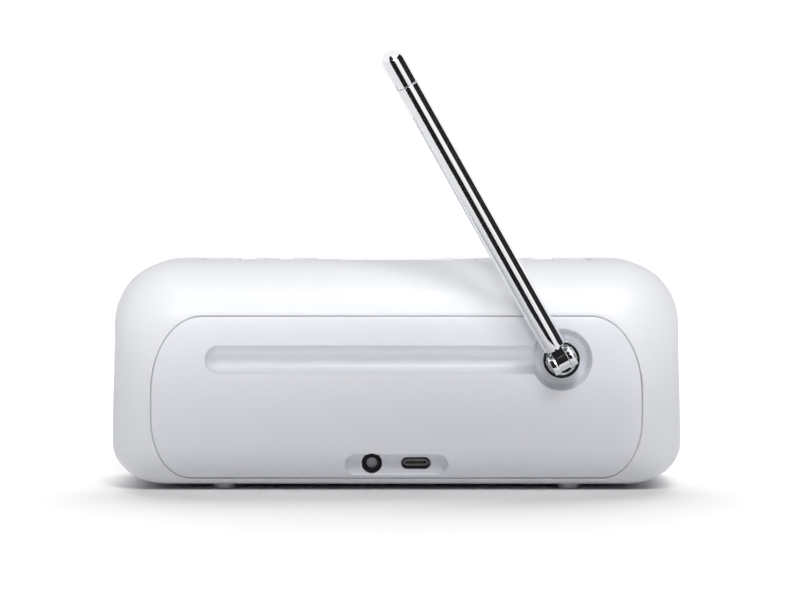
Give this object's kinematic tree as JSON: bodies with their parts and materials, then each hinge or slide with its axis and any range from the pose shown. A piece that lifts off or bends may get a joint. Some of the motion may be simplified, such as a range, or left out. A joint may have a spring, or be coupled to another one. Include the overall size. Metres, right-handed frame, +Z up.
{
  "type": "tabletop radio",
  "caption": "Rounded portable radio with top controls and display, front speaker grille, rear ports and a turning, tilting telescopic antenna that folds into a groove.",
  "frame": {"origin": "on the table plane, under the middle of the body and between its four feet", "axes": "+X along the body's length towards the radio's right-hand side seen from the front, +Y out of the back where the ports are, +Z up; the front looks along -Y"},
  "size_m": [0.186, 0.0963, 0.1422],
  "materials": {
    "body_plastic": "satin white moulding",
    "cover_plastic": "satin cool white moulding",
    "grille_metal": "satin light grey powder coat",
    "inner_plastic": "matte moulded",
    "window_clear": "polished dark tinted window",
    "display_panel": "liquid crystal panel",
    "flat_cable": "film",
    "silicone": "matte silicone",
    "key_plastic": "fine matte",
    "circuit_board": "solder mask",
    "contact_metal": "plated",
    "screw_steel": "zinc plated",
    "frame_plastic": "matte",
    "magnet_metal": "plated",
    "cone_paper": "pressed pulp",
    "surround_rubber": "matte",
    "cell_wrap": "shrink wrap",
    "chip_plastic": "moulded",
    "can_metal": "tinned",
    "port_metal": "stainless",
    "port_plastic": "matte black",
    "seal_foam": "closed cell foam",
    "antenna_chrome": "bright plate on brass",
    "pin_steel": "polished",
    "wire_insulation": "soft insulation",
    "foot_rubber": "translucent pale rubber"
  },
  "bodies": {
    "case_body": {"main_housing": "body_plastic", "rear_cover": "cover_plastic", "front_baffle": "inner_plastic", "grille": "grille_metal", "grille_trim": "body_plastic", "top_panel": "body_plastic", "display_window": "window_clear", "display_module": "display_panel", "key_cable": "flat_cable", "key_mat": "silicone", "key_board": "circuit_board", "key_domes": "contact_metal", "panel_screws": "screw_steel", "driver_basket": "frame_plastic", "driver_magnet": "magnet_metal", "driver_surround": "surround_rubber", "radiator_ring": "frame_plastic", "radiator_surround": "surround_rubber", "driver_screws": "screw_steel", "baffle_screws": "screw_steel", "cover_screws": "screw_steel", "battery_cell": "cell_wrap", "battery_tray": "inner_plastic", "main_board": "circuit_board", "board_parts": "chip_plastic", "tuner_can": "can_metal", "usb_c_socket": "port_metal", "aux_jack_socket": "port_plastic", "port_seal": "seal_foam", "board_screws": "screw_steel", "antenna_lead": "wire_insulation", "speaker_lead": "wire_insulation", "battery_lead": "wire_insulation", "feet": "foot_rubber"},
    "button_power": {"key_power": "key_plastic"},
    "button_wireless": {"key_wireless": "key_plastic"},
    "button_source": {"key_source": "key_plastic"},
    "button_preset_1": {"key_preset_1": "key_plastic"},
    "button_preset_2": {"key_preset_2": "key_plastic"},
    "button_preset_3": {"key_preset_3": "key_plastic"},
    "button_menu": {"key_menu": "key_plastic"},
    "button_tune_down": {"key_tune_down": "key_plastic"},
    "button_tune_up": {"key_tune_up": "key_plastic"},
    "button_volume_down": {"key_volume_down": "key_plastic"},
    "button_select": {"key_select": "key_plastic"},
    "button_volume_up": {"key_volume_up": "key_plastic"},
    "speaker_cone": {"driver_cone": "cone_paper"},
    "radiator_plate": {"radiator_weight": "frame_plastic"},
    "antenna_base": {"antenna_turret": "antenna_chrome", "antenna_pin": "pin_steel", "antenna_washer": "screw_steel", "antenna_screw": "screw_steel"},
    "antenna_arm": {"antenna_lug": "antenna_chrome", "antenna_tube_1": "antenna_chrome"},
    "antenna_section_2": {"antenna_tube_2": "antenna_chrome"},
    "antenna_section_3": {"antenna_tube_3": "antenna_chrome"},
    "antenna_section_4": {"antenna_tube_4": "antenna_chrome"},
    "antenna_section_5": {"antenna_rod": "antenna_chrome", "antenna_tip": "antenna_chrome"}
  },
  "joints": [
    {"name": "press_power", "type": "slide", "parent": "case_body", "child": "button_power", "axis": [0, 0, -1], "range_m": [0, 0.0005], "stiffness_N_per_m": 1200},
    {"name": "press_wireless", "type": "slide", "parent": "case_body", "child": "button_wireless", "axis": [0, 0, -1], "range_m": [0, 0.0005], "stiffness_N_per_m": 1200},
    {"name": "press_source", "type": "slide", "parent": "case_body", "child": "button_source", "axis": [0, 0, -1], "range_m": [0, 0.0005], "stiffness_N_per_m": 1200},
    {"name": "press_preset_1", "type": "slide", "parent": "case_body", "child": "button_preset_1", "axis": [0, 0, -1], "range_m": [0, 0.0005], "stiffness_N_per_m": 1200},
    {"name": "press_preset_2", "type": "slide", "parent": "case_body", "child": "button_preset_2", "axis": [0, 0, -1], "range_m": [0, 0.0005], "stiffness_N_per_m": 1200},
    {"name": "press_preset_3", "type": "slide", "parent": "case_body", "child": "button_preset_3", "axis": [0, 0, -1], "range_m": [0, 0.0005], "stiffness_N_per_m": 1200},
    {"name": "press_menu", "type": "slide", "parent": "case_body", "child": "button_menu", "axis": [0, 0, -1], "range_m": [0, 0.0005], "stiffness_N_per_m": 1200},
    {"name": "press_tune_down", "type": "slide", "parent": "case_body", "child": "button_tune_down", "axis": [0, 0, -1], "range_m": [0, 0.0005], "stiffness_N_per_m": 1200},
    {"name": "press_tune_up", "type": "slide", "parent": "case_body", "child": "button_tune_up", "axis": [0, 0, -1], "range_m": [0, 0.0005], "stiffness_N_per_m": 1200},
    {"name": "press_volume_down", "type": "slide", "parent": "case_body", "child": "button_volume_down", "axis": [0, 0, -1], "range_m": [0, 0.0005], "stiffness_N_per_m": 1200},
    {"name": "press_select", "type": "slide", "parent": "case_body", "child": "button_select", "axis": [0, 0, -1], "range_m": [0, 0.0005], "stiffness_N_per_m": 1200},
    {"name": "press_volume_up", "type": "slide", "parent": "case_body", "child": "button_volume_up", "axis": [0, 0, -1], "range_m": [0, 0.0005], "stiffness_N_per_m": 1200},
    {"name": "cone_travel", "type": "slide", "parent": "case_body", "child": "speaker_cone", "axis": [0, 1, 0], "range_m": [-0.0015, 0.0015], "stiffness_N_per_m": 1600, "deforming": ["driver_surround"]},
    {"name": "radiator_travel", "type": "slide", "parent": "case_body", "child": "radiator_plate", "axis": [0, 1, 0], "range_m": [-0.0015, 0.0015], "stiffness_N_per_m": 1400, "deforming": ["radiator_surround"]},
    {"name": "antenna_turn", "type": "hinge", "parent": "case_body", "child": "antenna_base", "pos_m": [-0.0534, 0.041, 0.04302], "axis": [0, -1, 0], "range_deg": [-60.4, 119.6]},
    {"name": "antenna_tilt", "type": "hinge", "parent": "antenna_base", "child": "antenna_arm", "pos_m": [-0.0534, 0.041, 0.04302], "axis": [-0.8695, 0, 0.4939], "range_deg": [-10.8, 82]},
    {"name": "antenna_slide_1", "type": "slide", "parent": "antenna_arm", "child": "antenna_section_2", "axis": [0.4891, 0.1392, 0.861], "range_m": [0, 0.08]},
    {"name": "antenna_slide_2", "type": "slide", "parent": "antenna_section_2", "child": "antenna_section_3", "axis": [0.4891, 0.1392, 0.861], "range_m": [0, 0.08]},
    {"name": "antenna_slide_3", "type": "slide", "parent": "antenna_section_3", "child": "antenna_section_4", "axis": [0.4891, 0.1392, 0.861], "range_m": [0, 0.08]},
    {"name": "antenna_slide_4", "type": "slide", "parent": "antenna_section_4", "child": "antenna_section_5", "axis": [0.4891, 0.1392, 0.861], "range_m": [0, 0.08]}
  ]
}
